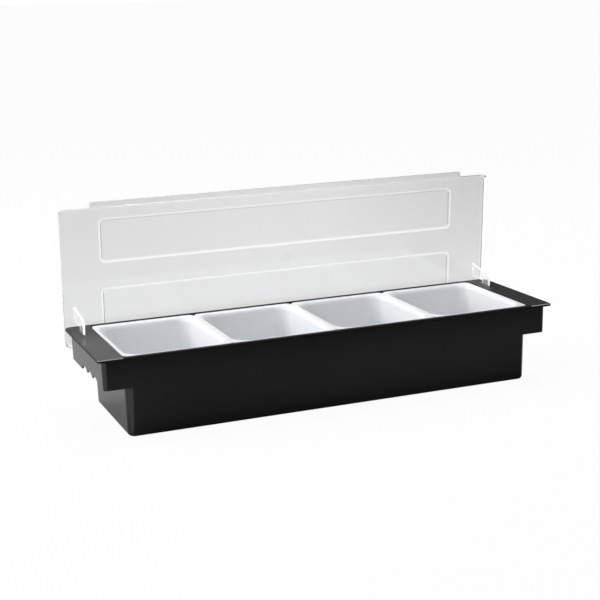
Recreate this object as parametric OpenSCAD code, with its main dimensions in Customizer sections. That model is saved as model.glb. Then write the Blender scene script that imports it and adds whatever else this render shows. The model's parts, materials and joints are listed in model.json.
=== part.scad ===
// Condiment caddy: a black tub with two end wings, four lift-out inserts and one clear hinged lid.
// Millimetres, +Z up, X along the tub, -Y at the front. The origin is on the tub's underside, midway
// between the rim's edges. The lid is drawn shut and then turned open about its hinge axis.

/* [Tub] */
// Length over the rim
rim_l = 495; // [470:1:520]
// Depth over the rim, front to back
rim_w = 144; // [138:1:156]
// Height from the underside to the top of the rim
body_h = 82; // [74:1:110]
// Thickness of the rim and of the wing tops
rim_t = 2.8; // [2.4:0.1:3.2]
// How far the rim stands out over the front wall
rim_over_front = 5; // [4:0.1:7]
// How far the rim stands out over the back wall
rim_over_back = 7; // [6:0.1:9]
// How far the rim stands out over the end skirts
rim_over_end = 5; // [3:0.1:7]
// Corner radius of the rim at the front
rim_corner_front = 2.5; // [2:0.1:5]
// Corner radius of the rim at the back, where the open lid hangs round it
rim_corner_back = 7.5; // [6:0.1:10]
// Rounding along the rim's back edge, which the lid swings past
rim_round_back = 2; // [1.8:0.1:2.2]
// Wall thickness
wall = 2.2; // [1.8:0.1:2.4]
// Thickness of the tub's floor
floor_t = 2.6; // [2:0.1:4]
// How far each wall leans in from the rim to the foot
wall_draft = 1.4; // [0.8:0.1:2]
// Vertical corner radius of the tub
tub_corner = 9; // [7:0.5:14]
// Radius round the tub's foot
foot_round = 4; // [2:0.5:5]

/* [Wings] */
// Length of each wing, from the tub's end wall to the skirt's face
wing_l = 21.7; // [21:0.1:26]
// Depth of the wing skirts below the rim's top
skirt_h = 32.2; // [31.5:0.1:44]
// Vertical corner radius of the skirts
skirt_corner = 4.5; // [3.5:0.1:7]
// Step between the skirts and the tub's walls
skirt_step = 0.3; // [0.2:0.1:1]
// Radius of each finger scallop in the end skirts
scallop_r = 15; // [14:0.5:18]
// Height of each scallop above the skirt's lower edge
scallop_h = 5.7; // [3:0.1:8]
// Distance between scallops
scallop_pitch = 21.2; // [18:0.1:23]
// Middle of the row of scallops, from the middle of the rim
scallop_y = -10; // [-14:1:4]

/* [Inserts] */
// Play between an insert's flange and its neighbours or the rebate
insert_play = 0.2; // [0.15:0.05:0.5]
// How far the insert flanges lie below the top of the rim
insert_sink = 0.4; // [0.2:0.1:0.8]
// Thickness of the insert flanges
insert_flange_t = 1.6; // [1.2:0.1:1.8]
// Corner radius of the insert flanges
insert_flange_r = 6.5; // [3:0.1:7.5]
// Height of an insert, flange included
insert_h = 70; // [50:1:71]
// Wall thickness of an insert
insert_wall = 1.8; // [1.4:0.1:2.4]
// How far an insert's walls lean in from its flange to its floor
insert_draft = 3; // [1.5:0.1:4]
// Vertical corner radius inside an insert at its mouth
insert_corner = 11; // [10:0.5:16]
// Radius round an insert's floor
insert_floor_round = 5; // [3:0.5:6]
// Gap between an insert's body and the tub's wall
insert_gap = 0.6; // [0.4:0.1:1.5]
// Width of the rebate's ledge at the tub's ends
ledge_end = 2.8; // [2:0.1:2.8]

/* [Lid] */
// How far each end of the lid stands in from the rim's end
lid_end_in = 0.9; // [0.5:0.1:1.5]
// How far the shut lid reaches past the rim's front edge
lid_over_front = 0.8; // [0.4:0.1:2]
// How far the shut lid reaches past the rim's back edge
lid_over_back = 1.2; // [0.8:0.1:2]
// Thickness of the lid's plate
lid_t = 2; // [1.6:0.1:2.4]
// Thickness of the lid's turned-down edge
lid_edge_t = 1.7; // [1.4:0.1:1.7]
// Height of the turned-down edge below the plate
lid_edge_h = 5.5; // [5.5:0.1:7]
// Gap between the shut lid's edge and the rim
lid_rest_gap = 0.15; // [0.1:0.01:0.3]
// Corner radius of the lid
lid_corner = 5; // [4:0.1:7]
// Rounding of the lid's upper edges
lid_round = 1.4; // [1:0.1:1.6]
// Distance of each end of the raised panels in from the lid's end
panel_end_in = 42.6; // [30:0.1:60]
// Depth of each raised panel
panel_w = 46; // [36:0.5:50]
// Distance between the middles of the two panels
panel_pitch = 74; // [60:0.5:74]
// Height of the raised panels
panel_h = 1.2; // [0.8:0.1:1.4]
// Width of the slope round each panel
panel_slope = 3; // [2:0.1:4]
// Corner radius of the panels
panel_corner = 8; // [6:0.5:12]
// Distance of each end of the grip lip in from the lid's end
lip_end_in = 33.1; // [26:0.1:90]
// How far the grip lip stands out
lip_w = 5.2; // [3:0.1:8]
// Radius of the plain gate disc at the middle of the lid
gate_r = 4; // [3:0.1:5]
// Depth of the gate disc
gate_t = 0.4; // [0.2:0.1:0.6]

/* [Hinge] */
// Distance of the hinge axis in from the rim's back edge
hinge_inset = 12.5; // [12.2:0.1:12.8]
// Distance of the hinge axis below the top of the rim
hinge_drop = 10.3; // [10:0.1:10.6]
// Angle that the lid opens, from shut on the rim
lid_open = 86.8; // [84:0.1:88]
// Distance of the middle of each hinge arm in from the rim's end
arm_in = 13.2; // [12.8:0.1:13.4]
// Thickness of the hinge arms
arm_t = 2.4; // [2:0.1:2.8]
// Reach of the arm's nose from the hinge axis
arm_reach = 29.3; // [28.8:0.1:30]
// Gap that the open lid's arms leave over the top of the rim
arm_root_gap = 3.5; // [2:0.1:3.6]
// Width of the arm where it comes through the slot
arm_limb = 12; // [10.5:0.1:12.2]
// Length of the arm's root along the lid
arm_root = 14.9; // [13.7:0.1:15.2]
// Gap between the arm's arch and the edge of the rim that it reaches round
arch_gap = 3; // [1.5:0.1:3]
// How far the arm's foot hangs below the hinge axis when the lid is shut
arm_foot = 21.7; // [20:0.1:21.7]
// Distance of the slot's back end in front of the hinge axis
slot_back = 5.1; // [4.8:0.1:5.4]
// Play between the arm and the slot's sides
slot_play = 0.8; // [0.5:0.1:1.2]
// Gap that is left where the open arm meets the slot's back end
stop_gap = 0.3; // [0.25:0.01:0.4]
// Radius of the stub pin on each arm
stub_r = 1.5; // [1.2:0.1:1.6]
// Radial play of the stub pin in its bearing
stub_play = 0.05; // [0.03:0.01:0.1]
// Radius of the arm's eye round the stub pin
eye_r = 2.9; // [2.6:0.1:3]
// Radius of the bearing boss inside the end skirt
boss_r = 4; // [3.5:0.1:5]

/* [Hidden] */
$fn = 64;
eps = 0.01;
overcut = 1;
insert_count = 4;

black = "#1d1d1f";
white = "#f4f5f6";
clear = [0.86, 0.88, 0.89, 0.55];

// Tub: the walls stand back from the rim by different amounts at the front and at the back.
tub_y = (rim_over_front - rim_over_back) / 2;
tub_hy = (rim_w - rim_over_front - rim_over_back) / 2;
skirt_hx = rim_l / 2 - rim_over_end;
tub_hx = skirt_hx - wing_l;
skirt_z = body_h - skirt_h;
skirt_draft = wall_draft * skirt_h / body_h;

// Rebate that carries the insert flanges.
rebate_hx = tub_hx - wall + ledge_end;
rebate_hy = tub_hy + insert_play / 2;
rebate_depth = insert_flange_t + insert_sink;
insert_pitch = 2 * rebate_hx / insert_count;
insert_hx = insert_pitch / 2 - insert_play;
insert_hy = rebate_hy - insert_play;
insert_top = body_h - insert_sink;
insert_body_hx = insert_pitch / 2 - ledge_end - insert_gap;
insert_body_hy = tub_hy - wall - insert_gap;

// Hinge axis, and the circle about it that the rim's back edge stays inside.
hinge_y = rim_w / 2 - hinge_inset;
hinge_z = body_h - hinge_drop;
rim_sweep_r = norm([hinge_inset - rim_round_back, hinge_drop - rim_round_back]) + rim_round_back;
lid_clear_r = rim_sweep_r + 0.2;

// Lid, shut.
lid_hx = rim_l / 2 - lid_end_in;
lid_hy = (rim_w + lid_over_front + lid_over_back) / 2;
lid_y = rim_w / 2 + lid_over_back - lid_hy;
lid_under = body_h + lid_edge_h;
lid_top = lid_under + lid_t;
lid_draft = 0.3;
panel_hx = lid_hx - panel_end_in;
lip_hx = lid_hx - lip_end_in;

// Arm, measured from the hinge axis with the lid shut: forward is -, up is +.
arm_x = rim_l / 2 - arm_in;
arm_head = lid_edge_h + hinge_drop;
arm_back = -(hinge_drop + arm_root_gap);
arm_front = arm_back - arm_limb;
slot_low = hinge_drop - rim_t;
arch_r = norm([slot_back, hinge_drop]) + arch_gap;
stop_r = norm([slot_back, slot_low]);
web_angle = 180 - atan(slot_low / slot_back) + asin(stop_gap / stop_r) + lid_open;
root_front = arm_back - arm_root;
root_flare = arm_front - root_front;
flare_h = arm_head + 2;
flare_r = (flare_h * flare_h + root_flare * root_flare) / (2 * root_flare);
flare_lap = 0.15;
foot_back = -5.5;
boss_x = arm_x + arm_t / 2 + 1;
boss_depth = 4.2;
slot_hx = arm_t / 2 + slot_play;
slot_front = sqrt(arm_reach * arm_reach - slot_low * slot_low) + 0.6;

// Half of a section through a wall that leans in towards a rounded foot: w wide at the height h.
module half_section(w, h, draft, foot) {
    lean = atan(draft / h);
    foot_x = w - draft + foot * tan(lean) - foot / cos(lean);
    polygon([[0, 0], [foot_x, 0], [foot_x + foot * cos(lean), foot * (1 - sin(lean))], [w, h], [0, h]]);
    if (foot > 0)
        intersection() {
            translate([foot_x, foot]) circle(r = foot);
            translate([foot_x, 0]) square([foot, foot]);
        }
}

// Box on z = 0 with leaning walls, round corners and a rounded foot. hx and hy are half its size at the top.
module soft_box(hx, hy, h, corner, draft, foot) {
    hull()
        for (sx = [-1, 1], sy = [-1, 1])
            translate([sx * (hx - corner), sy * (hy - corner), 0])
                rotate_extrude($fn = 32) half_section(corner, h, draft, foot, $fn = 32);
}

module round_rect(hx, hy, r) {
    square([2 * (hx - r), 2 * hy], center = true);
    square([2 * hx, 2 * (hy - r)], center = true);
    for (sx = [-1, 1], sy = [-1, 1])
        translate([sx * (hx - r), sy * (hy - r)]) circle(r = r);
}

module both_ends() {
    for (side = [-1, 1])
        mirror([side < 0 ? 1 : 0, 0, 0]) children();
}

module rim_outline() {
    hx = rim_l / 2;
    hy = rim_w / 2;
    f = rim_corner_front;
    b = rim_corner_back;
    translate([-hx, -hy + f]) square([rim_l, rim_w - f - b]);
    translate([-hx + f, -hy]) square([rim_l - 2 * f, 2 * f]);
    translate([-hx + b, hy - 2 * b]) square([rim_l - 2 * b, 2 * b]);
    for (sx = [-1, 1]) {
        translate([sx * (hx - f), -hy + f]) circle(r = f);
        translate([sx * (hx - b), hy - b]) circle(r = b);
    }
}

// What the rounding takes off an upper edge that runs along x = 0, z = 0.
module edge_round_section(r) {
    difference() {
        translate([-r, -r]) square([r + overcut, r + overcut]);
        translate([-r, -r]) circle(r = r);
    }
}

module rim_back_rounding() {
    b = rim_corner_back;
    r = rim_round_back;
    translate([0, rim_w / 2, body_h])
        rotate([90, 0, 90])
            linear_extrude(rim_l - 2 * b, center = true) edge_round_section(r);
    both_ends()
        translate([rim_l / 2 - b, rim_w / 2 - b, body_h])
            rotate_extrude(angle = 90)
                translate([b, 0]) edge_round_section(r);
}

module rim() {
    difference() {
        translate([0, 0, body_h - rim_t]) linear_extrude(rim_t) rim_outline();
        rim_back_rounding();
    }
}

module tub_outside() {
    translate([0, tub_y, 0]) soft_box(tub_hx, tub_hy, body_h - eps, tub_corner, wall_draft, foot_round);
}

// The well stops inside the rebate, which is wider than the well.
module tub_well() {
    well_h = body_h - floor_t - rebate_depth / 2;
    translate([0, tub_y, floor_t])
        soft_box(tub_hx - wall, tub_hy - wall, well_h, tub_corner - wall, wall_draft, foot_round - wall + 0.8);
}

module rebate() {
    translate([0, tub_y, body_h - rebate_depth])
        linear_extrude(rebate_depth + overcut) round_rect(rebate_hx, rebate_hy, insert_flange_r + insert_play);
}

// A wing's skirt, which blends into the tub past the tub's own round corner.
module skirt_outside() {
    inner_x = tub_hx - tub_corner;
    translate([(inner_x + skirt_hx) / 2, tub_y, skirt_z])
        soft_box((skirt_hx - inner_x) / 2, tub_hy + skirt_step, skirt_h - rim_t / 2, skirt_corner, skirt_draft, 0);
}

// Space under a wing, between its skirt and the tub's end wall. Both lean the same way.
module wing_hollow() {
    inner_x = tub_hx + skirt_step;
    outer_x = skirt_hx - wall;
    hx = (outer_x - inner_x) / 2;
    hy = tub_hy + skirt_step - wall;
    hull() {
        translate([inner_x + hx, tub_y, body_h - rim_t - eps])
            linear_extrude(eps) round_rect(hx, hy, skirt_corner - wall, $fn = 32);
        translate([inner_x + hx - skirt_draft, tub_y, skirt_z - overcut])
            linear_extrude(eps) round_rect(hx, hy - skirt_draft, skirt_corner - wall, $fn = 32);
    }
}

module scallops() {
    for (i = [-1, 0, 1])
        translate([skirt_hx - 2 * wall, scallop_y + i * scallop_pitch, skirt_z + scallop_h - scallop_r])
            rotate([0, 90, 0]) cylinder(r = scallop_r, h = 4 * wall);
}

module arm_slot() {
    slot_len = slot_front - slot_back;
    translate([arm_x, hinge_y - slot_back - slot_len / 2, body_h - rim_t - overcut])
        linear_extrude(rim_t + 2 * overcut) round_rect(slot_hx, slot_len / 2, 1);
}

// Bearing for the arm's stub pin: a boss on the inside of the end skirt with a blind hole.
module hinge_boss() {
    translate([boss_x, hinge_y, hinge_z])
        rotate([0, 90, 0]) cylinder(r = boss_r, h = skirt_hx - wall / 2 - skirt_draft - boss_x);
}

module hinge_bore() {
    translate([boss_x - overcut, hinge_y, hinge_z])
        rotate([0, 90, 0]) cylinder(r = stub_r + stub_play, h = boss_depth + overcut);
}

module base() {
    color(black)
        difference() {
            union() {
                difference() {
                    union() {
                        tub_outside();
                        both_ends() skirt_outside();
                        rim();
                    }
                    both_ends() wing_hollow();
                }
                both_ends() hinge_boss();
            }
            tub_well();
            rebate();
            both_ends() {
                scallops();
                arm_slot();
                hinge_bore();
            }
        }
}

// Insert number i, counted from the left.
module insert(i) {
    body_h_out = insert_h - insert_flange_t / 2;
    inner_h = insert_h - insert_wall;
    color(white)
        translate([(i - (insert_count + 1) / 2) * insert_pitch, tub_y, insert_top - insert_h])
            difference() {
                union() {
                    translate([0, 0, insert_h - insert_flange_t])
                        linear_extrude(insert_flange_t) round_rect(insert_hx, insert_hy, insert_flange_r);
                    soft_box(insert_body_hx, insert_body_hy, body_h_out,
                        insert_corner + insert_wall, insert_draft, insert_floor_round + insert_wall);
                }
                translate([0, 0, insert_wall])
                    soft_box(insert_body_hx - insert_wall, insert_body_hy - insert_wall, inner_h + eps,
                        insert_corner, insert_draft, insert_floor_round);
            }
}

// Turns what is drawn with the lid shut to where it stands with the lid open.
module opened() {
    translate([0, hinge_y, hinge_z])
        rotate([-lid_open, 0, 0])
            translate([0, -hinge_y, -hinge_z]) children();
}

// Tapered block that stands panel_h high on z = 0, with its wide side down.
module panel_block() {
    translate([0, 0, panel_h])
        mirror([0, 0, 1])
            soft_box(panel_hx, panel_w / 2, panel_h, panel_corner, panel_slope, 0);
}

module lid_tray() {
    edge_h = lid_edge_h - lid_rest_gap;
    difference() {
        translate([0, lid_y, lid_top])
            mirror([0, 0, 1])
                soft_box(lid_hx, lid_hy, lid_t + edge_h, lid_corner, lid_draft, lid_round);
        translate([0, lid_y, lid_under])
            mirror([0, 0, 1])
                soft_box(lid_hx - lid_edge_t, lid_hy - lid_edge_t, lid_edge_h + eps,
                    lid_corner - lid_edge_t, lid_draft, lid_round / 2);
    }
}

module grip_lip() {
    root = lid_hy - lid_round;
    end_taper = 2.5;
    translate([0, lid_y, lid_under])
        linear_extrude(lid_t)
            polygon([
                [-lip_hx, -root],
                [lip_hx, -root],
                [lip_hx, -lid_hy],
                [lip_hx - end_taper, -lid_hy - lip_w],
                [end_taper - lip_hx, -lid_hy - lip_w],
                [-lip_hx, -lid_hy]]);
}

// The edge is cut back round the hinge axis, so that it swings clear of the rim.
module lid_shut() {
    difference() {
        union() {
            lid_tray();
            grip_lip();
            for (s = [-1, 1])
                translate([0, lid_y + s * panel_pitch / 2, lid_top]) panel_block();
        }
        for (s = [-1, 1])
            translate([0, lid_y + s * panel_pitch / 2, lid_under - eps]) panel_block();
        translate([0, lid_y, lid_top - gate_t]) cylinder(r = gate_r, h = gate_t + overcut);
        translate([0, hinge_y, hinge_z])
            rotate([0, 90, 0]) cylinder(r = lid_clear_r, h = 2 * lid_hx + 2 * overcut, center = true, $fn = 128);
    }
}

module lid() {
    color(clear) opened() lid_shut();
}

// Side view of an arm about the hinge axis: a hook that reaches round the strip of rim behind its slot.
module arm_hook() {
    intersection() {
        circle(r = arm_reach);
        union() {
            translate([arm_front, -arm_foot]) square([arm_limb, arm_foot + slot_low]);
            polygon([
                [arm_back - 1, -arm_foot],
                [foot_back, -arm_foot],
                0.9 * eye_r * [cos(20), -sin(20)],
                [0, 0.5 * eye_r],
                1.2 * arch_r * [cos(web_angle - 8), sin(web_angle - 8)]]);
        }
    }
}

// The limb widens in a long arc towards its root on the lid.
module arm_limb_and_root() {
    translate([arm_front, 0]) square([arm_limb, arm_head]);
    difference() {
        translate([root_front - 1, arm_head - flare_h]) square([root_flare + 2, flare_h]);
        translate([arm_front - flare_r + flare_lap, arm_head - flare_h]) circle(r = flare_r);
    }
}

// The void that the strip of rim passes through, down to the edge that meets it when the lid is open.
module arm_arch() {
    far = 4 * arch_r;
    intersection() {
        union() {
            circle(r = arch_r);
            translate([arm_back, -far]) square(2 * far);
        }
        polygon([
            [0, 0],
            far * [cos(web_angle), sin(web_angle)],
            [-far, far],
            [0, far]]);
    }
}

module arm_outline() {
    difference() {
        union() {
            arm_hook();
            arm_limb_and_root();
        }
        arm_arch();
    }
    circle(r = eye_r);
}

module hinge_arm_shut() {
    translate([arm_x, hinge_y, hinge_z]) {
        rotate([90, 0, 90]) linear_extrude(arm_t, center = true) arm_outline();
        rotate([0, 90, 0]) cylinder(r = stub_r, h = boss_x + boss_depth - 0.5 - arm_x);
    }
}

module hinge_arm(side) {
    color(clear) opened() mirror([side < 0 ? 1 : 0, 0, 0]) hinge_arm_shut();
}

base();
insert(1);  // insert_1
insert(2);  // insert_2
insert(3);  // insert_3
insert(4);  // insert_4
lid();
hinge_arm(-1);  // hinge_arm_left
hinge_arm(1);  // hinge_arm_right
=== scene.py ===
import json
import math

import bmesh
import bpy
from mathutils import Matrix, Vector
from mathutils.geometry import tessellate_polygon


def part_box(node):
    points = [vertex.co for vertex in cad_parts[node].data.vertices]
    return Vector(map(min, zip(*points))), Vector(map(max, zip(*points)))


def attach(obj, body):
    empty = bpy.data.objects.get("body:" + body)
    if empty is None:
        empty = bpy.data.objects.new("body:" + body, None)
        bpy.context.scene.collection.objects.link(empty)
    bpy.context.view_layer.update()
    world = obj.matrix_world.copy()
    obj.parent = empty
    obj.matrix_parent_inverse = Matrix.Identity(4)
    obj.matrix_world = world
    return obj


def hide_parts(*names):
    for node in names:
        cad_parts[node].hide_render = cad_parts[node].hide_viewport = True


# Condiment caddy: black tub with two wings, four white inserts, one clear lid on two hooked arms.
# Shapes are in millimetres, and each point is scaled to metres as it is made. Materials and the stage
# are in metres.

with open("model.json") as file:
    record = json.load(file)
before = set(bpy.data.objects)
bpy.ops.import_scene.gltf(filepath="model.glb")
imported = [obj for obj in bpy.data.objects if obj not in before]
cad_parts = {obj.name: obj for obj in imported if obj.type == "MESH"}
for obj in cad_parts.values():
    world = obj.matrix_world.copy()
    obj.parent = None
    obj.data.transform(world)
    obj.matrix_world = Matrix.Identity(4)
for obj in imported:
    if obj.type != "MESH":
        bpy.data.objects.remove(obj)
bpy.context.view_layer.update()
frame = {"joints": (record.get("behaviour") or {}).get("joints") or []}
MM = 0.001
SIDES = {"left": -1, "right": 1}


def size_of(node):
    """A solid's lowest and highest corners, in millimetres."""
    low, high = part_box(node)
    return [v / MM for v in low], [v / MM for v in high]


# --- Sizes: the frame gives the outer ones, and most of the rest repeat the solids' sizes.

RIM_HX, RIM_HY, RIM_Z = size_of("base")[1]
RIM_T = 2.8
RIM_BOTTOM = RIM_Z - RIM_T
RIM_CORNER_FRONT = 2.5
RIM_CORNER_BACK = 7.5
RIM_ROUND = 0.7
RIM_ROUND_BACK = 2.0
RIM_ROUND_LOWER = 0.5
HOLE_ROUND = 0.35

WALL = 2.2
WALL_LEAN = 1.4
TUB_Y = -1.0
TUB_HX = 220.8
TUB_HY = 66.0
TUB_CORNER = 9.0
TUB_FLOOR = 2.6
FOOT_ROUND = 4.0
REBATE = 2.0
REBATE_HX = 222.0
REBATE_HY = 66.5
REBATE_CORNER = 6.7
LEDGE = RIM_Z - REBATE
LEDGE_OUT = 1.2
LEDGE_T = 0.9
LEDGE_ROUND = 0.4

SKIRT_HX = 242.5
SKIRT_HY = TUB_HY + 0.3
SKIRT_H = 32.2
SKIRT_CORNER = 4.5
SKIRT_TAIL = 8.0
SKIRT_TAIL_IN = 0.6
SKIRT_EDGE = 0.5
SCALLOP_R = 15.0
SCALLOP_H = 5.7
SCALLOP_PITCH = 21.2
SCALLOP_Y = -10.0

HINGE_Y, HINGE_Z = (v / MM for v in frame["joints"][0]["pos_m"][1:])
LID_OPEN = math.radians(86.8)
ARM_X = 234.3
ARM_T = 2.4
ARM_ROUND = 0.35
SLOT_HX = 2.0
SLOT_BACK = 5.1
SLOT_FRONT = 28.9
SLOT_CORNER = 1.0
BOSS_GAP = 1.0
BOSS_R = 4.0
BORE_R = 1.55
BORE_DEPTH = 4.2
PIN_R = 1.5
PIN_L = 4.8
PIN_SUNK = 0.1

INSERT_WALL = 1.5
INSERT_LEAN = 3.5
INSERT_CORNER = 14.5
INSERT_ROLL = 5.5
INSERT_FOOT = 5.0
FLANGE_FLAT = 1.3
FLANGE_CORNER = 6.5
FLANGE_EDGE = 0.5
FLANGE_BEVEL = 0.2

LID_HX = 246.6
LID_HY = 73.0
LID_Y = 0.2
LID_T = 2.0
LID_EDGE_T = 1.7
LID_EDGE_H = 5.5
LID_UNDER = RIM_Z + LID_EDGE_H
LID_TOP = LID_UNDER + LID_T
LID_FOOT = RIM_Z + 0.15
LID_FOOT_EDGE = ((0.3, 0), (0.08, 0.1), (0, 0.3))
LID_LEAN = 0.3
LID_CORNER = 5.0
LID_ROUND = 1.4
LID_ROUND_INNER = 0.9
CLEAR_R = 15.59
PANEL_X = -1.6
PANEL_HX = 204.1
PANEL_HY = 23.6
PANEL_CORNER = 6.2
PANEL_H = 1.2
PANEL_PITCH = 74.0
PANEL_SLOPE = ((0, 0), (-0.4, 0.04), (-0.9, 0.2), (-1.5, 0.6), (-2.1, 1.0), (-2.6, 1.16), (-3.0, PANEL_H))
DISC_PROFILE = ((4.2, 0), (4.0, -0.1), (3.8, -0.4))
LIP_HX = 213.9
LIP_W = 5.2
LIP_CORNER = 2.5
LIP_ROUND = 0.35
LIP_SUNK = 0.2

# How finely the shapes are divided. A small round edge has one middle point, this share of its radius
# away from the sharp corner's two faces.
CORNER_STEPS = 8
CIRCLE_STEPS = 32
DISC_STEPS = 40
SKIRT_TAIL_STEPS = 4
SKIRT_END_STEPS = 170
LID_SIDE_STEPS = 90
ROUND_MID = 0.3
SMALLEST_CORNER = 0.3


# --- Mesh making.

class Skin:
    """A closed mesh, made of loops of points that are bridged and capped."""

    def __init__(self):
        self.bm = bmesh.new()

    def loop(self, points):
        return [self.bm.verts.new(Vector(p) * MM) for p in points]

    def bridge(self, a, b):
        """Band of faces between two loops of the same length."""
        for i in range(len(a)):
            j = (i + 1) % len(a)
            self.bm.faces.new((a[i], a[j], b[j], b[i]))

    def loft(self, loops):
        """Bridges each loop of points to the next one."""
        rows = [self.loop(points) for points in loops]
        for a, b in zip(rows, rows[1:]):
            self.bridge(a, b)
        return rows

    def cap(self, outer, holes=()):
        """Flat face inside the outer loop, round the holes."""
        loops = [outer, *holes]
        verts = [v for one in loops for v in one]
        for tri in tessellate_polygon([[v.co for v in one] for one in loops]):
            self.bm.faces.new([verts[i] for i in tri])

    def finish(self, name, material, body, sharp=40):
        bmesh.ops.recalc_face_normals(self.bm, faces=self.bm.faces)
        mesh = bpy.data.meshes.new(name)
        self.bm.to_mesh(mesh)
        self.bm.free()
        return add_piece(name, mesh, material, body, sharp)


def smooth_by_angle(mesh, degrees):
    """Shades the mesh smooth, except along edges that bend by more than so many degrees."""
    bm = bmesh.new()
    bm.from_mesh(mesh)
    for face in bm.faces:
        face.smooth = True
    for edge in bm.edges:
        edge.smooth = edge.calc_face_angle(0) < math.radians(degrees)
    bm.to_mesh(mesh)
    bm.free()


def add_piece(name, mesh, material, body, sharp):
    """Puts a mesh in the scene as a piece that rides on a body, or on none while it is being made."""
    smooth_by_angle(mesh, sharp)
    piece = bpy.data.objects.new(name, mesh)
    bpy.context.scene.collection.objects.link(piece)
    mesh.materials.clear()
    mesh.materials.append(material)
    weighted = piece.modifiers.new("weighted_normals", "WEIGHTED_NORMAL")
    weighted.keep_sharp = True
    weighted.weight = 100
    if body:
        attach(piece, body)
    return piece


def mark_painted_light(mesh, tone):
    """Stores a tone of painted light for each face of a clear piece: 1 for a full painted highlight, below 0
    for painted shade.
    """
    layer = mesh.attributes.new("tone", "FLOAT", "CORNER")
    for face in mesh.polygons:
        value = tone(face)
        for i in face.loop_indices:
            layer.data[i].value = value


def evaluated_mesh(piece):
    """The mesh of a piece with its modifiers, or its curve, worked out."""
    bpy.context.view_layer.update()
    return bpy.data.meshes.new_from_object(piece.evaluated_get(bpy.context.evaluated_depsgraph_get()))


def between(a, b, parts):
    """The points that divide a straight edge into equal parts."""
    return [tuple(p + (q - p) * k / parts for p, q in zip(a, b)) for k in range(1, parts)]


def quarter_turn(steps, start=0):
    """Angles, in radians, that divide a quarter turn into equal steps. The start is in degrees."""
    return [math.radians(start + 90 * k / steps) for k in range(steps + 1)]


def rounded(cx, cy, hx, hy, corners, z, side_steps=1):
    """Rounded rectangle at height z, anticlockwise from its right side. corners is one radius or (front,
    back), and side_steps is how many parts the straight left and right edges have."""
    front, back = corners if isinstance(corners, tuple) else (corners, corners)
    points = []
    for sx, sy, turn in ((1, 1, 0), (-1, 1, 90), (-1, -1, 180), (1, -1, 270)):
        r = back if sy > 0 else front
        for a in quarter_turn(CORNER_STEPS, turn):
            points.append((cx + sx * (hx - r) + r * math.cos(a), cy + sy * (hy - r) + r * math.sin(a), z))
    half = 2 * (CORNER_STEPS + 1)
    left = between(points[half - 1], points[half], side_steps)
    right = between(points[-1], points[0], side_steps)
    return points[:half] + left + points[half:] + right


def arc(cx, cz, r, start, end, steps):
    """Points (offset, height) on an arc that runs from one angle to another, in degrees."""
    angles = [math.radians(start + (end - start) * k / steps) for k in range(steps + 1)]
    return [(cx + r * math.cos(a), cz + r * math.sin(a)) for a in angles]


def circle(r, steps):
    """Points on a circle round (0, 0)."""
    angles = [math.tau * k / steps for k in range(steps)]
    return [(r * math.cos(a), r * math.sin(a)) for a in angles]


def rings(cx, cy, hx, hy, corner, profile, side_steps=1):
    """One rounded rectangle for each (offset, height) of the profile. The offset also widens the corner."""
    return [rounded(cx, cy, hx + d, hy + d, max(corner + d, SMALLEST_CORNER), z, side_steps)
            for d, z in profile]


# --- Node making. Noise seldom leaves the range from NOISE_LOW to NOISE_HIGH, so that range is spread out.

NOISE_LOW = 0.3
NOISE_HIGH = 0.7


def new_material(name):
    material = bpy.data.materials.new(name)
    material.use_nodes = True
    tree = material.node_tree
    return material, tree, tree.nodes["Principled BSDF"]


def add_node(tree, kind, **sockets):
    """A new node with some sockets set. An underscore in a socket's name stands for a space."""
    node = tree.nodes.new(kind)
    for key, value in sockets.items():
        node.inputs[key.replace("_", " ")].default_value = value
    return node


def object_axes(tree):
    """The X, Y and Z of a point in the piece's own coordinates, in metres."""
    place = tree.nodes.new("ShaderNodeTexCoord")
    split = tree.nodes.new("ShaderNodeSeparateXYZ")
    tree.links.new(place.outputs["Object"], split.inputs["Vector"])
    return split.outputs


def object_noise(tree, scale, detail, stretch=(1, 1, 1)):
    """Noise in the piece's own coordinates, in cells per metre."""
    place = tree.nodes.new("ShaderNodeTexCoord")
    mapping = add_node(tree, "ShaderNodeMapping", Scale=stretch)
    noise = add_node(tree, "ShaderNodeTexNoise", Scale=scale, Detail=detail)
    tree.links.new(place.outputs["Object"], mapping.inputs["Vector"])
    tree.links.new(mapping.outputs["Vector"], noise.inputs["Vector"])
    return noise.outputs["Fac"]


def ramp(tree, value, start, end, low, high):
    """A number that goes from low to high as the value goes from start to end, and no further."""
    node = add_node(tree, "ShaderNodeMapRange", From_Min=start, From_Max=end, To_Min=low, To_Max=high)
    tree.links.new(value, node.inputs["Value"])
    return node.outputs["Result"]


def vary(tree, noise, low, high):
    """A number that drifts between low and high with the noise."""
    return ramp(tree, noise, NOISE_LOW, NOISE_HIGH, low, high)


def vary_colour(tree, noise, a, b):
    """A colour that drifts between two others with the noise."""
    node = tree.nodes.new("ShaderNodeValToRGB")
    for element, position, colour in zip(node.color_ramp.elements, (NOISE_LOW, NOISE_HIGH), (a, b)):
        element.position = position
        element.color = (*colour, 1)
    tree.links.new(noise, node.inputs["Fac"])
    return node.outputs["Color"]


def mix_colours(tree, factor, a, b):
    """Goes from a to b with the factor. Both are sockets or plain colours."""
    node = tree.nodes.new("ShaderNodeMix")
    node.data_type = "RGBA"
    tree.links.new(factor, node.inputs["Factor"])
    for key, value in (("A", a), ("B", b)):
        if isinstance(value, tuple):
            node.inputs[key].default_value = (*value, 1)
        else:
            tree.links.new(value, node.inputs[key])
    return node.outputs["Result"]


def add_values(tree, a, b):
    node = tree.nodes.new("ShaderNodeMath")
    node.operation = "ADD"
    tree.links.new(a, node.inputs[0])
    tree.links.new(b, node.inputs[1])
    return node.outputs[0]


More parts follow.
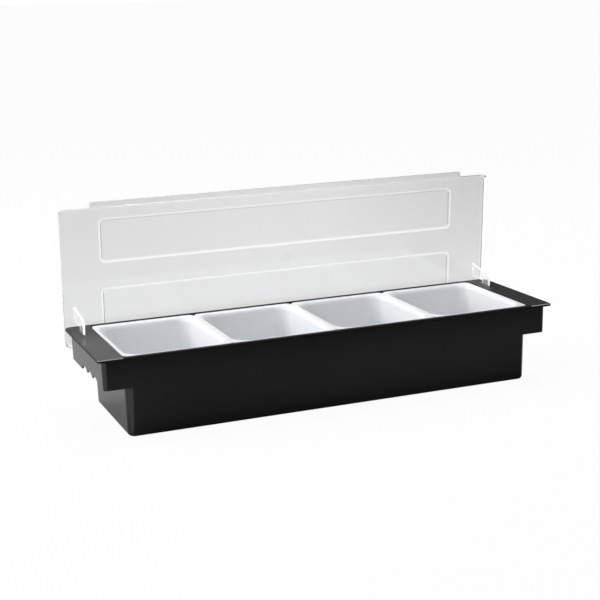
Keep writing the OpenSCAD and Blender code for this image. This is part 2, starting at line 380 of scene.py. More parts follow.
def mix_shaders(tree, factor, a, b):
    """Goes from shader a to shader b with the factor."""
    mix = tree.nodes.new("ShaderNodeMixShader")
    for socket, value in zip(mix.inputs, (factor, a.outputs[0], b.outputs[0])):
        tree.links.new(value, socket)
    return mix.outputs[0]


def add_bump(tree, shader, value, distance, strength):
    bump = add_node(tree, "ShaderNodeBump", Strength=strength, Distance=distance)
    tree.links.new(value, bump.inputs["Height"])
    tree.links.new(bump.outputs["Normal"], shader.inputs["Normal"])


# --- Materials.

BLACK_LOW = (0.0055, 0.0055, 0.006)
BLACK_HIGH = (0.0085, 0.0085, 0.009)
SATIN_DRIFT = 0.01
RUBBED_START = -0.01
RUBBED_END = 0.05

WHITE_LOW = (0.85, 0.862, 0.88)
WHITE_HIGH = (0.87, 0.88, 0.893)
WHITE_SCATTER = (0.003, 0.003, 0.003)

# Painted shade towards the clear sheet's ends and painted light on its lower part when open: where each
# begins and is full, along X and by height on the open lid.
LEFT_END_PAINTED_SHADE = (-0.05, -0.22)
RIGHT_END_PAINTED_SHADE = (0.04, 0.27)
FOOT_PAINTED_LIGHT = (0.2, 0.085)
FOOT_LIGHT_SHARE = 0.8
FOOT_LIGHT_COLOUR = (0.9, 0.903, 0.906)
# Colours of the clear pieces' painted shade and painted highlight.
PAINTED_SHADE_COLOUR = (0.3, 0.305, 0.31)
PAINTED_HIGHLIGHT_COLOUR = (0.985, 0.988, 0.99)
CLEAR_SHADOW = (0.88, 0.885, 0.89, 1)
CLEAR_IOR = 1.45
SHEET_TRANSMISSION = 0.86
# Less light passes through where a painted highlight is.
HIGHLIGHT_TRANSMISSION = 0.7


def black_plastic(name, roughness, specular, rubbed=0.0, highlight_gain=1.0):
    """Injection-moulded ABS: satin, with a fine spark-eroded grain and faint flow marks. rubbed is how much
    rougher it gets towards the hinge, and highlight_gain makes its colour paler, for a painted highlight
    along an edge."""
    material, tree, shader = new_material(name)
    low, high = (tuple(v * highlight_gain for v in tone) for tone in (BLACK_LOW, BLACK_HIGH))
    flow = object_noise(tree, 9.0, 2.0)
    tree.links.new(vary_colour(tree, flow, low, high), shader.inputs["Base Color"])
    streaks = object_noise(tree, 30.0, 4.0, (1, 1, 3))
    satin = vary(tree, streaks, roughness - SATIN_DRIFT, roughness + SATIN_DRIFT)
    if rubbed:
        wear = ramp(tree, object_axes(tree)["Y"], RUBBED_START, RUBBED_END, 0, rubbed)
        satin = add_values(tree, satin, wear)
    tree.links.new(satin, shader.inputs["Roughness"])
    shader.inputs["Specular IOR Level"].default_value = specular
    add_bump(tree, shader, object_noise(tree, 1800.0, 2.0), distance=0.00002, strength=0.5)
    return material


def white_plastic():
    """Glossy white moulding with a faint cool cast and a very fine grain."""
    material, tree, shader = new_material("white_moulding")
    colour = vary_colour(tree, object_noise(tree, 12.0, 1.0), WHITE_LOW, WHITE_HIGH)
    tree.links.new(colour, shader.inputs["Base Color"])
    tree.links.new(vary(tree, object_noise(tree, 20.0, 1.0), 0.28, 0.32), shader.inputs["Roughness"])
    shader.inputs["Subsurface Weight"].default_value = 0.05
    shader.inputs["Subsurface Radius"].default_value = WHITE_SCATTER
    shader.inputs["Subsurface Scale"].default_value = 1.0
    add_bump(tree, shader, object_noise(tree, 900.0, 2.0), distance=0.00001, strength=0.3)
    return material


def clear_plastic(name, dark, light, left_shade_colour, right_shade_colour, painted_glow):
    """Clear sheet plastic: slightly grey and hazy, drifting between dark and light, with painted shade in its
    own colours towards its ends and painted light on its lower part when open.
    Where its tone is above 0 it has a painted highlight: whiter, less clear and glowing a little; below 0 it
    has painted shade."""
    material, tree, shader = new_material(name)
    # The tone attribute holds each face's painted light: above 0 a painted highlight, below 0 painted shade.
    tone = tree.nodes.new("ShaderNodeAttribute")
    tone.attribute_name = "tone"
    painted_highlight = ramp(tree, tone.outputs["Fac"], 0, 1, 0, 1)
    painted_shade = ramp(tree, tone.outputs["Fac"], 0, -1, 0, 1)
    axes = object_axes(tree)
    sheet = vary_colour(tree, object_noise(tree, 7.0, 2.0), dark, light)
    # Painted shade towards the left and right ends, and painted light on the lower part of the open piece.
    sheet = mix_colours(tree, ramp(tree, axes["X"], *LEFT_END_PAINTED_SHADE, 0, 1), sheet, left_shade_colour)
    sheet = mix_colours(tree, ramp(tree, axes["X"], *RIGHT_END_PAINTED_SHADE, 0, 1), sheet, right_shade_colour)
    sheet = mix_colours(tree, ramp(tree, axes["Z"], *FOOT_PAINTED_LIGHT, 0, FOOT_LIGHT_SHARE), sheet, FOOT_LIGHT_COLOUR)
    # Painted shade where the tone is below 0, then a painted highlight where it is above 0.
    sheet = mix_colours(tree, painted_shade, sheet, PAINTED_SHADE_COLOUR)
    tree.links.new(mix_colours(tree, painted_highlight, sheet, PAINTED_HIGHLIGHT_COLOUR), shader.inputs["Base Color"])
    through = ramp(tree, painted_highlight, 0, 1, SHEET_TRANSMISSION, HIGHLIGHT_TRANSMISSION)
    tree.links.new(through, shader.inputs["Transmission Weight"])
    tree.links.new(vary(tree, object_noise(tree, 40.0, 3.0), 0.05, 0.1), shader.inputs["Roughness"])
    shader.inputs["IOR"].default_value = CLEAR_IOR
    shader.inputs["Emission Color"].default_value = (1, 1, 1, 1)
    # The painted highlight glows, though no lamp is there.
    tree.links.new(ramp(tree, painted_highlight, 0, 1, 0, painted_glow), shader.inputs["Emission Strength"])
    add_bump(tree, shader, object_noise(tree, 18.0, 2.0), distance=0.0001, strength=0.1)
    # Lamps shine through it, as they do through a thin clear sheet.
    path = tree.nodes.new("ShaderNodeLightPath")
    thin = add_node(tree, "ShaderNodeBsdfTransparent", Color=CLEAR_SHADOW)
    surface = mix_shaders(tree, path.outputs["Is Shadow Ray"], shader, thin)
    tree.links.new(surface, tree.nodes["Material Output"].inputs["Surface"])
    return material


BLACK = black_plastic("black_abs_walls", roughness=0.17, specular=0.45)
BLACK_TOP = black_plastic("black_abs_rim", roughness=0.2, specular=0.15, rubbed=0.22)
BLACK_EDGE = black_plastic("black_abs_edge", roughness=0.45, specular=0.1)
# Pale grey black plastic: a painted highlight for the wings' front top edges.
BLACK_PAINTED_HIGHLIGHT = black_plastic("black_abs_painted_highlight", roughness=0.4, specular=0.5, highlight_gain=55.0)
WHITE = white_plastic()
# The lid and the hooks get painted shade towards their ends, and glowing painted highlights where their tones
# are above 0.
CLEAR = clear_plastic("clear_lid", dark=(0.835, 0.837, 0.839), light=(0.855, 0.857, 0.859),
                      left_shade_colour=(0.78, 0.782, 0.784), right_shade_colour=(0.67, 0.672, 0.674), painted_glow=0.2)
CLEAR_ARM = clear_plastic("clear_hooks", dark=(0.94, 0.942, 0.944), light=(0.96, 0.962, 0.964),
                          left_shade_colour=(0.96, 0.962, 0.964), right_shade_colour=(0.93, 0.932, 0.934), painted_glow=0.3)


# --- Tub.

def wall_profile(foot, lean, height, round_r):
    """Outer face of a wall from its rounded foot to its top: (offset, height)."""
    turn = arc(-lean - round_r, foot + round_r, round_r, -80, 0, 6)
    return [(-lean - round_r, foot)] + turn + [(0, height)]


def make_tub():
    """Shell of the tub, with the ledge that carries the inserts."""
    skin = Skin()
    bevel = 0.1
    outer = wall_profile(0, WALL_LEAN, LEDGE - LEDGE_T - bevel, FOOT_ROUND)
    inner = wall_profile(TUB_FLOOR, WALL_LEAN, LEDGE - LEDGE_ROUND, FOOT_ROUND - 1)
    lip = [(LEDGE_OUT, LEDGE - LEDGE_T), (LEDGE_OUT, LEDGE - bevel), (LEDGE_OUT - bevel, LEDGE)]
    mid = LEDGE_ROUND * ROUND_MID
    mouth = [(-WALL + LEDGE_ROUND, LEDGE), (-WALL + mid, LEDGE - mid)]
    inside = [(d - WALL, z) for d, z in inner[::-1]]
    rows = skin.loft(rings(0, TUB_Y, TUB_HX, TUB_HY, TUB_CORNER, outer + lip + mouth + inside))
    skin.cap(rows[0])
    skin.cap(rows[-1])
    skin.finish("tub_shell", BLACK, "tub")


def rim_round(y):
    """Radius of the rim's upper edge: it grows towards the back."""
    t = min(max((y - (RIM_HY - RIM_CORNER_BACK)) / RIM_CORNER_BACK, 0), 1)
    return RIM_ROUND + (RIM_ROUND_BACK - RIM_ROUND) * t


def rim_loop(radius, inward, level, rise):
    """The rim's outline, moved in and up from a level by shares of the edge's radius at each point."""
    loop = []
    for x, y, _ in rounded(0, 0, RIM_HX, RIM_HY, (RIM_CORNER_FRONT, RIM_CORNER_BACK), 0):
        corner = RIM_CORNER_BACK if y > 0 else RIM_CORNER_FRONT
        cx = math.copysign(RIM_HX - corner, x)
        cy = math.copysign(RIM_HY - corner, y)
        way = Vector((x - cx, y - cy)).normalized()
        d = radius(y) * inward
        loop.append((x - way.x * d, y - way.y * d, level + radius(y) * rise))
    return loop


def hole(skin, cx, cy, hx, hy, corner):
    """Walls of a hole through the rim, rounded at its upper edge."""
    profile = [(HOLE_ROUND * (1 - math.sin(a)), RIM_Z - HOLE_ROUND * (1 - math.cos(a)))
               for a in quarter_turn(3)]
    return skin.loft(rings(cx, cy, hx, hy, corner, profile + [(0, RIM_BOTTOM)]))


def make_rim():
    """Rim plate, with its mouth for the inserts and its two slots for the arms."""
    skin = Skin()
    loops = [rim_loop(rim_round, 1 - math.sin(a), RIM_Z, math.cos(a) - 1) for a in quarter_turn(4)]
    loops += [rim_loop(lambda y: RIM_ROUND_LOWER, 1 - math.cos(a), RIM_BOTTOM, 1 - math.sin(a))
              for a in quarter_turn(2)]
    rows = skin.loft(loops)
    holes = [hole(skin, 0, TUB_Y, REBATE_HX, REBATE_HY, REBATE_CORNER)]
    slot_hy = (SLOT_FRONT - SLOT_BACK) / 2
    slot_y = HINGE_Y - SLOT_BACK - slot_hy
    for side in SIDES.values():
        holes.append(hole(skin, side * ARM_X, slot_y, SLOT_HX, slot_hy, SLOT_CORNER))
    skin.cap(rows[0], [h[0] for h in holes])
    skin.cap(rows[-1], [h[-1] for h in holes])
    # A cut on each side parts the strips along the inserts from the wing tops, which have another material.
    strip_x, strip_y = REBATE_HX + 0.8, REBATE_HY - 1.0
    for way in (Vector((1, 0, 0)), Vector((-1, 0, 0))):
        bmesh.ops.bisect_plane(skin.bm, geom=skin.bm.verts[:] + skin.bm.edges[:] + skin.bm.faces[:],
                               plane_co=way * strip_x * MM, plane_no=way)
    rim = skin.finish("rim_plate", BLACK_TOP, "tub")
    rim.data.materials.append(BLACK_EDGE)
    rim.data.materials.append(BLACK_PAINTED_HIGHLIGHT)
    end_edge_w, back_edge_w, highlight_h = 1.5, 2.5, 1.0
    for face in rim.data.polygons:
        x, y, z = (v / MM for v in face.center)
        up = face.normal.z
        on_strip = abs(x) < strip_x and abs(y - TUB_Y) > strip_y
        on_edge = up < 0.5 and (abs(x) > RIM_HX - end_edge_w or abs(y) > RIM_HY - back_edge_w)
        # Forward-facing faces at the top of the wings' front edges get a painted highlight: the pale grey
        # material.
        faces_front = face.normal.y < -0.2 and 0.05 < up < 0.97
        if faces_front and z > RIM_Z - highlight_h and abs(x) > strip_x:
            face.material_index = 2
        elif on_strip or on_edge:
            face.material_index = 1
    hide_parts("base")


def scallop_floor(y):
    """Height of the end skirt's lower edge, with its three finger hollows."""
    edge = RIM_Z - SKIRT_H
    for i in (-1, 0, 1):
        off = abs(y - SCALLOP_Y - i * SCALLOP_PITCH)
        if off < SCALLOP_R:
            edge = max(edge, RIM_Z - SKIRT_H + SCALLOP_H - SCALLOP_R + math.sqrt(SCALLOP_R ** 2 - off ** 2))
    return edge


def skirt_path():
    """Plan of a wing's skirt, from the tub's front round the end to its back: (x, y, the angle it faces).
    Its tails ease into the tub's walls."""
    r = SKIRT_CORNER
    corner_x, corner_y = SKIRT_HX - r, SKIRT_HY - r
    start = TUB_HX - TUB_CORNER
    shares = [k / SKIRT_TAIL_STEPS for k in range(1, SKIRT_TAIL_STEPS + 1)]
    tail = [(start - SKIRT_TAIL * t, SKIRT_HY - SKIRT_TAIL_IN * t ** 2) for t in shares]
    path = [(x, -y, math.radians(270)) for x, y in tail[::-1]]
    path += [(corner_x + r * math.cos(a), -corner_y + r * math.sin(a), a) for a in quarter_turn(8, 270)]
    path += [(*point, 0.0) for point in between((SKIRT_HX, -corner_y), (SKIRT_HX, corner_y), SKIRT_END_STEPS)]
    path += [(corner_x + r * math.cos(a), corner_y + r * math.sin(a), a) for a in quarter_turn(8)]
    return path + [(x, y, math.radians(90)) for x, y in tail]


def make_skirt(name, side):
    """Skirt of a wing: a wall that hangs from the rim, with finger hollows under its end."""
    skin = Skin()
    top = RIM_Z - RIM_T / 2
    mid = SKIRT_EDGE * ROUND_MID
    loops = []
    for x, y, angle in skirt_path():
        way = (math.cos(angle), math.sin(angle))
        on_end = abs(way[0]) > 0.999
        low = scallop_floor(y + TUB_Y) if on_end else RIM_Z - SKIRT_H
        outer = [(0, top), (0, low + SKIRT_EDGE), (mid, low + mid), (SKIRT_EDGE, low)]
        loop = []
        for depth, z in outer + [(WALL - d, z) for d, z in outer[::-1]]:
            d = depth + WALL_LEAN * (top - z) / RIM_Z
            loop.append((side * (x - way[0] * d), y - way[1] * d + TUB_Y, z))
        loops.append(loop)
    rows = skin.loft(loops)
    skin.cap(rows[0])
    skin.cap(rows[-1])
    skin.finish(name, BLACK, "tub", 35)


def lathe(name, profile, x, side, material, body):
    """Round piece on the hinge's axis. The profile is (distance out from x, radius)."""
    skin = Skin()
    loops = []
    for along, r in profile:
        loops.append([(side * (x + along), HINGE_Y + u, HINGE_Z + v) for u, v in circle(r, CIRCLE_STEPS)])
    rows = skin.loft(loops)
    skin.cap(rows[0])
    skin.cap(rows[-1])
    skin.finish(name, material, body)


def make_base():
    make_tub()
    make_rim()
    boss_x = ARM_X + ARM_T / 2 + BOSS_GAP
    length = SKIRT_HX - WALL / 2 - boss_x
    inner, outer = 0.2, 0.3
    bearing = [(BORE_DEPTH, BORE_R), (inner, BORE_R), (0, BORE_R + inner),
               (0, BOSS_R - outer), (outer, BOSS_R), (length, BOSS_R)]
    for word, side in SIDES.items():
        make_skirt("wing_skirt_" + word, side)
        lathe("hinge_boss_" + word, bearing, boss_x, side, BLACK, "tub")


# --- Inserts.

def make_insert(number):
    """Lift-out insert: a deep tray whose mouth rolls over into a flange."""
    node = "insert_%d" % number
    low, high = size_of(node)
    cx, cy = (low[0] + high[0]) / 2, (low[1] + high[1]) / 2
    flange_hx, flange_hy = (high[0] - low[0]) / 2, (high[1] - low[1]) / 2
    mouth_hx, mouth_hy = (v - INSERT_ROLL - FLANGE_FLAT for v in (flange_hx, flange_hy))
    floor, top = low[2], high[2]
    roll_z = top - INSERT_ROLL
    flange_z = top - INSERT_WALL
    mid = FLANGE_EDGE * ROUND_MID
    skin = Skin()
    inner = wall_profile(floor + INSERT_WALL, INSERT_LEAN, roll_z, INSERT_FOOT)
    inner += arc(INSERT_ROLL, roll_z, INSERT_ROLL, 180, 90, 8)[1:]
    edge = [(-FLANGE_EDGE, top), (-mid, top - mid), (0, top - FLANGE_EDGE), (0, flange_z + FLANGE_BEVEL),
            (-FLANGE_BEVEL, flange_z)]
    outer = wall_profile(floor, INSERT_LEAN, roll_z, INSERT_FOOT + INSERT_WALL)
    outer = [(d + INSERT_WALL, z) for d, z in outer]
    outer += arc(INSERT_ROLL, roll_z, INSERT_ROLL - INSERT_WALL, 180, 90, 8)[1:]
    made = skin.loft(rings(cx, cy, mouth_hx, mouth_hy, INSERT_CORNER, inner)
                     + rings(cx, cy, flange_hx, flange_hy, FLANGE_CORNER, edge)
                     + rings(cx, cy, mouth_hx, mouth_hy, INSERT_CORNER, outer[::-1]))
    skin.cap(made[0])
    skin.cap(made[-1])
    piece = skin.finish("insert_shell_%d" % number, WHITE, "insert_body_%d" % number)
    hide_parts(node)


# --- Lid, drawn shut and then turned open about the hinge.

OPENED = (Matrix.Translation((0, HINGE_Y * MM, HINGE_Z * MM)) @ Matrix.Rotation(-LID_OPEN, 4, "X")
          @ Matrix.Translation((0, -HINGE_Y * MM, -HINGE_Z * MM)))

# Painted light and shade on the lid's faces: a tone above 0 is a painted highlight, below 0 painted shade. A
# panel's slope has one for its outer half and one for its inner half.
LIP_FLAT_PAINTED_SHADE = -0.08
LIP_EDGE_PAINTED_LIGHT = 0.1
RIGHT_EDGE_PAINTED_HIGHLIGHT = 0.7
RIGHT_EDGE_PAINTED_SHADE = -0.6
OTHER_EDGE_PAINTED_LIGHT = 0.05
DISC_PAINTED_LIGHT = 0.3
PANEL_END_PAINTED_LIGHT = (0.5, -0.4)
PANEL_INNER_PAINTED_LIGHT = (0.4, 0.15)
PANEL_OUTER_PAINTED_LIGHT = (0.25, -0.2)


def edge_floor(y):
    """Height of the lid's lower edge, which is cut back round the hinge axis."""
    off = abs(y - HINGE_Y)
    if off >= CLEAR_R:
        return LID_FOOT
    return max(LID_FOOT, HINGE_Z + math.sqrt(CLEAR_R ** 2 - off ** 2))


def lid_rings(inset, profile, top):
    """Rings of the lid's edge, each squeezed up to where the edge is cut back."""
    hx, hy, corner = (v - inset for v in (LID_HX, LID_HY, LID_CORNER))
    out = []
    for points in rings(0, LID_Y, hx, hy, corner, profile, LID_SIDE_STEPS):
        out.append([(x, y, top - (top - z) * (top - edge_floor(y)) / (top - LID_FOOT)) for x, y, z in points])
    return out


def panel(skin, y, z):
    """Raised panel in the middle of a lid's face."""
    slope = [(d, z + h) for d, h in PANEL_SLOPE]
    rows = skin.loft(rings(PANEL_X, y, PANEL_HX, PANEL_HY, PANEL_CORNER, slope))
    skin.cap(rows[-1])
    return rows[0]


def gate_disc(skin, z):
    """Plain round dimple at the middle of the lid."""
    rows = skin.loft([[(u, LID_Y + v, z + h) for u, v in circle(r, DISC_STEPS)] for r, h in DISC_PROFILE])
    skin.cap(rows[-1])
    return rows[0]


def panel_painted_light(x, y, z):
    """Painted light or shade of a panel's slope, or None off the slopes: its outer half is the lighter one.
    """
    slope_w, margin = -PANEL_SLOPE[-1][0], 0.1
    for s in (-1, 1):
        middle = LID_Y + s * PANEL_PITCH / 2
        dx = PANEL_HX - abs(x - PANEL_X)
        dy = PANEL_HY - abs(y - middle)
        if not -margin <= min(dx, dy) <= slope_w + margin:
            continue
        foot = LID_TOP if z > LID_TOP - 0.01 else LID_UNDER
        half = 0 if (z - foot) / PANEL_H < 0.5 else 1
        if dx < dy:
            return PANEL_END_PAINTED_LIGHT[half]
        if (y > middle) == (s < 0):
            return PANEL_INNER_PAINTED_LIGHT[half]
        return PANEL_OUTER_PAINTED_LIGHT[half]
    return None


def lid_painted_light(face):
    """Painted light and shade of the shut lid: painted highlights and painted shade along its creases, and
    its lip is dull with faint painted shade.
    """
    x, y, z = (v / MM for v in face.center)
    lean = 1 - abs(face.normal.z)
    front = LID_Y - LID_HY
    under_edge = LID_UNDER - 1.0
    if y < front - 0.1:
        return LIP_FLAT_PAINTED_SHADE if lean < 0.5 else LIP_EDGE_PAINTED_LIGHT
    if x > LID_HX - LID_EDGE_T - 0.5 and z < under_edge:
        return RIGHT_EDGE_PAINTED_HIGHLIGHT
    if lean < 0.0005:
        return 0.0
    slope = panel_painted_light(x, y, z)
    if slope is not None:
        return slope
    if LID_HX - abs(x) > 3:
        return DISC_PAINTED_LIGHT
    if x < 0 or y < front + 5:
        return OTHER_EDGE_PAINTED_LIGHT
    return RIGHT_EDGE_PAINTED_SHADE if z > under_edge else RIGHT_EDGE_PAINTED_HIGHLIGHT


def make_tray():
    """The lid's sheet with its turned-down edge, panels and disc."""
    skin = Skin()
    outer = [(-d, LID_FOOT + h) for d, h in LID_FOOT_EDGE]
    outer += arc(-LID_LEAN - LID_ROUND, LID_TOP - LID_ROUND, LID_ROUND, 0, 90, 5)
    inner = [(d, LID_FOOT + h) for d, h in LID_FOOT_EDGE]
    inner += arc(-LID_LEAN - LID_ROUND_INNER, LID_UNDER - LID_ROUND_INNER, LID_ROUND_INNER, 0, 90, 4)
    out_rows = skin.loft(lid_rings(0, outer, LID_TOP))
    in_rows = skin.loft(lid_rings(LID_EDGE_T, inner, LID_UNDER))
    skin.bridge(out_rows[0], in_rows[0])
    middles = [LID_Y + s * PANEL_PITCH / 2 for s in (-1, 1)]
    skin.cap(out_rows[-1], [panel(skin, y, LID_TOP) for y in middles] + [gate_disc(skin, LID_TOP)])
    skin.cap(in_rows[-1], [panel(skin, y, LID_UNDER) for y in middles])
    return skin.finish("lid_tray", CLEAR, None)


def make_lip():
    """Grip lip along the lid's front, with rounded ends and edges."""
    skin = Skin()
    front = LID_Y - LID_HY
    root = front + LID_ROUND + LIP_SUNK
    e = LIP_ROUND
    loops = []
    for inset, z in ((e, LID_UNDER), (0, LID_UNDER + e), (0, LID_TOP - e), (e, LID_TOP)):
        corner = LIP_CORNER - inset
        half = [(LIP_HX - inset, root), (LIP_HX - inset, front)]
        half += arc(LIP_HX - inset - corner, front - LIP_W + inset + corner, corner, 0, -90, 6)
        loops.append([(x, y, z) for x, y in half] + [(-x, y, z) for x, y in half[::-1]])
    rows = skin.loft(loops)
    skin.cap(rows[0])
    skin.cap(rows[-1])
    return skin.finish("lip", CLEAR, None)


def make_lid():
    tray = make_tray()
    lip = make_lip()
    tray.modifiers.clear()
    union = tray.modifiers.new("union", "BOOLEAN")
    union.operation = "UNION"
    union.solver = "EXACT"
    union.object = lip
    mesh = evaluated_mesh(tray)
    for part in (tray, lip):
        bpy.data.objects.remove(part)
    # Each face of the lid gets its painted light or painted shade.
    mark_painted_light(mesh, lid_painted_light)
    mesh.transform(OPENED)
    lid = add_piece("lid_tray", mesh, CLEAR, "lid_body", 30)
    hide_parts("lid")


# --- Hinge arms, drawn about the axis with the lid shut, and then turned open with it.

def arm_outline():
    """Side view of a hinge arm: (y, z) from the axis. It hangs from the lid at its front, and its web and eye
    are at its back. The arch between them clears the strip of rim behind the slot."""
    head = LID_EDGE_H + RIM_Z - HINGE_Z
    back, front, root_front, foot, toe = -13.8, -25.8, -28.7, 21.7, -5.5
    arch_r, reach, eye_r = 14.5, 29.3, 2.9
    web, eye_end = 212.9, -20
    bulge = math.degrees(math.acos(-back / arch_r))
    flare_h = head + 2
    flare = front - root_front
    flare_r = (flare_h ** 2 + flare ** 2) / (2 * flare)
    points = [(back, head)]
    points += arc(0, 0, arch_r, 180 - bulge, 180 + bulge, 8)
    points += [(back, back * math.tan(math.radians(web)))]
    points += arc(0, 0, eye_r, web, eye_end, 16)
    points += [(toe, -foot)]
    points += arc(0, 0, reach, 270 - math.degrees(math.acos(foot / reach)),
                  180 + math.degrees(math.acos(-front / reach)), 6)
    points += arc(front - flare_r, head - flare_h, flare_r, 0, math.degrees(math.asin(flare_h / flare_r)), 10)
    return points


def arm_painted_highlight(face):
    """The arm's flat sides are clear with a faint painted highlight, and its edges get up to a full painted
    highlight.
    """
    return min(1, 0.1 + 8 * (1 - abs(face.normal.x)))


def make_arm(word, side):
    """Hooked arm: a flat outline with rounded edges, and its stub pin."""
    outline = arm_outline()
    curve = bpy.data.curves.new("arm", "CURVE")
    curve.dimensions = "2D"
    curve.fill_mode = "BOTH"
    curve.extrude = (ARM_T / 2 - ARM_ROUND) * MM
    curve.bevel_depth = ARM_ROUND * MM
    curve.bevel_resolution = 2
    curve.offset = -ARM_ROUND * MM
    spline = curve.splines.new("POLY")
    spline.points.add(len(outline) - 1)
    for point, (y, z) in zip(spline.points, outline):
        point.co = (y * MM, z * MM, 0, 1)
    spline.use_cyclic_u = True
    source = bpy.data.objects.new("arm", curve)
    bpy.context.scene.collection.objects.link(source)
    mesh = evaluated_mesh(source)
    bpy.data.objects.remove(source)
    # The curve's x, y and z become the frame's y, z and x.
    upright = Matrix(((0, 0, 1, side * ARM_X * MM),
                      (1, 0, 0, HINGE_Y * MM),
                      (0, 1, 0, HINGE_Z * MM),
                      (0, 0, 0, 1)))
    mesh.transform(OPENED @ upright)
    # Painted highlights on the arm's edges.
    mark_painted_light(mesh, arm_painted_highlight)
    arm = add_piece("hinge_hook_" + word, mesh, CLEAR_ARM, "lid_body", 30)
    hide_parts("hinge_arm_" + word)
    bevel = 0.3
    pin = [(0, PIN_R - bevel), (0, PIN_R), (PIN_L - bevel, PIN_R), (PIN_L, PIN_R - bevel)]
    lathe("stub_pin_" + word, pin, ARM_X + ARM_T / 2 - PIN_SUNK, side, CLEAR_ARM, "lid_body")


# --- Stage: floor, world, flags, lamps and camera.

FLOOR_HALF = 60.0
FLOOR_Z = -0.0002
FLOOR_COLOUR = (0.9, 0.9, 0.9, 1)
FLOOR_WHITE = 0.95
WORLD_STRENGTH = 0.43
MATT = 0.9
FLAG_Z = 0.0005
MIDDLE = (0, 0, 0.05)
LEFT_MIDDLE = (-0.2, 0, 0.05)

CAMERA_PLACE = (-0.5191, -1.2553, 0.4160)
CAMERA_AZIMUTH = math.radians(21.95)
CAMERA_DOWN = math.radians(13.15)
CAMERA_ROLL = math.radians(-1.45)
CAMERA_LENS = 79.91
CAMERA_SENSOR = 36.0


def white_to_eye(tree, shader, white_kind, share):
    """Mixes a plain white of strength 1 into what the camera, reflections and clear pieces see."""
    path = tree.nodes.new("ShaderNodeLightPath")
    seen = add_values(tree, path.outputs["Is Camera Ray"], path.outputs["Is Glossy Ray"])
    seen = add_values(tree, seen, path.outputs["Is Transmission Ray"])
    weight = tree.nodes.new("ShaderNodeMath")
    weight.operation = "MULTIPLY"
    weight.use_clamp = True
    weight.inputs[1].default_value = share
    tree.links.new(seen, weight.inputs[0])
    white = add_node(tree, white_kind, Color=(1, 1, 1, 1), Strength=1.0)
    return mix_shaders(tree, weight.outputs[0], shader, white)


def make_floor():
    mesh = bpy.data.meshes.new("floor")
    corners = [(x * FLOOR_HALF, y * FLOOR_HALF, 0) for x, y in ((-1, -1), (1, -1), (1, 1), (-1, 1))]
    mesh.from_pydata(corners, [], [(0, 1, 2, 3)])
    floor = bpy.data.objects.new("floor", mesh)
    floor.location.z = FLOOR_Z
    bpy.context.scene.collection.objects.link(floor)
    material, tree, shader = new_material("pale_floor")
    shader.inputs["Base Color"].default_value = FLOOR_COLOUR
    shader.inputs["Roughness"].default_value = MATT
    surface = white_to_eye(tree, shader, "ShaderNodeEmission", FLOOR_WHITE)
    tree.links.new(surface, tree.nodes["Material Output"].inputs["Surface"])
    mesh.materials.append(material)


def make_world():
    world = bpy.data.worlds.new("studio")
    bpy.context.scene.world = world
    world.use_nodes = True
    tree = world.node_tree
    plain = tree.nodes["Background"]
    plain.inputs["Color"].default_value = (1, 1, 1, 1)
    plain.inputs["Strength"].default_value = WORLD_STRENGTH
    surface = white_to_eye(tree, plain, "ShaderNodeBackground", 1.0)
    tree.links.new(surface, tree.nodes["World Output"].inputs["Surface"])


def add_flag(name, outline, z, grey, height=0):
    """Studio flag: a dark card that only gloss sees. It lies flat, or stands on a line if it has a height."""
    corners = [(x, y, z) for x, y in outline] + [(x, y, height) for x, y in outline[::-1] if height]
    mesh = bpy.data.meshes.new(name)
    mesh.from_pydata(corners, [], [tuple(range(len(corners)))])
    flag = bpy.data.objects.new(name, mesh)
    flag.visible_camera = False
    flag.visible_diffuse = False
    flag.visible_transmission = False
    flag.visible_shadow = False
    bpy.context.scene.collection.objects.link(flag)
    material, tree, shader = new_material(name)
    shader.inputs["Base Color"].default_value = (grey, grey, grey, 1)
    shader.inputs["Roughness"].default_value = MATT
    mesh.materials.append(material)


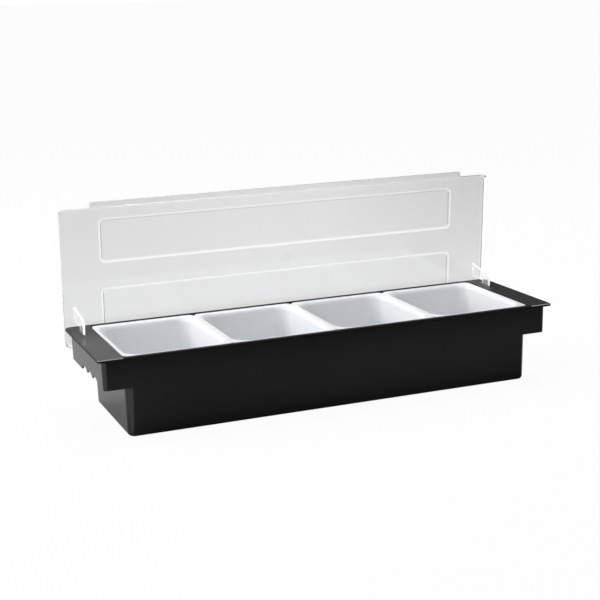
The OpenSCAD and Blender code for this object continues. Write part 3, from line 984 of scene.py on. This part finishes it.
def make_flags():
    """Dark parts of the studio, in front of the object and behind it on the right, and a painted shadow on
    its left: a grey card on the floor that gloss sees in place of the floor's shade there.
    """
    front = [(-0.222, -0.062), (-0.25, -0.27), (1.6, -0.27), (1.6, -0.062)]
    far_front = [(-0.25, -0.27), (-0.3, -1.5), (1.6, -1.5), (1.6, -0.27)]
    left = [(-1.2, -0.07), (-0.2, -0.07), (-0.2, 0.6), (-1.2, 0.6)]
    back = [(0.3, 1.1), (2.6, 0.6)]
    add_flag("flag_front", front, FLAG_Z, grey=0.215)
    add_flag("flag_far_front", far_front, FLAG_Z, grey=0.07)
    # Painted shadow on the floor by the tub's left end, seen only in reflections.
    add_flag("flag_painted_shadow_left", left, FLAG_Z, grey=0.6)
    add_flag("flag_back", back, 2 * FLAG_Z, grey=0.2, height=1.0)


def add_lamp(name, place, target, size, power):
    """Soft rectangular lamp that faces its target. Its power is in watts."""
    light = bpy.data.lights.new(name, "AREA")
    light.shape = "RECTANGLE"
    light.size, light.size_y = size
    light.energy = power
    lamp = bpy.data.objects.new(name, light)
    lamp.location = place
    lamp.rotation_euler = (Vector(target) - Vector(place)).to_track_quat("-Z", "Y").to_euler()
    bpy.context.scene.collection.objects.link(lamp)


def make_lamps():
    add_lamp("back_left", (-1.4, 0.9, 1.5), MIDDLE, size=(1.4, 1.0), power=19.5)
    add_lamp("top", (0.4, 0.35, 1.8), MIDDLE, size=(0.5, 0.4), power=9.0)
    add_lamp("left", (-1.5, -0.15, 0.45), LEFT_MIDDLE, size=(1.0, 0.5), power=6.7)


def make_camera():
    """Camera that was fitted to the photo on the rim, the skirts, the tub's foot and the lid."""
    level = math.cos(CAMERA_DOWN)
    look = Vector((math.sin(CAMERA_AZIMUTH) * level, math.cos(CAMERA_AZIMUTH) * level,
                   -math.sin(CAMERA_DOWN)))
    right = look.cross(Vector((0, 0, 1))).normalized()
    up = right.cross(look)
    x = math.cos(CAMERA_ROLL) * right + math.sin(CAMERA_ROLL) * up
    y = -math.sin(CAMERA_ROLL) * right + math.cos(CAMERA_ROLL) * up
    data = bpy.data.cameras.new("camera")
    data.sensor_fit = "HORIZONTAL"
    data.sensor_width = CAMERA_SENSOR
    data.lens = CAMERA_LENS
    camera = bpy.data.objects.new("camera", data)
    camera.matrix_world = Matrix.Translation(CAMERA_PLACE) @ Matrix((x, y, -look)).transposed().to_4x4()
    bpy.context.scene.collection.objects.link(camera)
    bpy.context.scene.camera = camera


bpy.context.scene.view_settings.view_transform = "Standard"
make_camera()
make_base()
for number in (1, 2, 3, 4):
    make_insert(number)
make_lid()
for word, side in SIDES.items():
    make_arm(word, side)
make_floor()
make_world()
make_flags()
make_lamps()
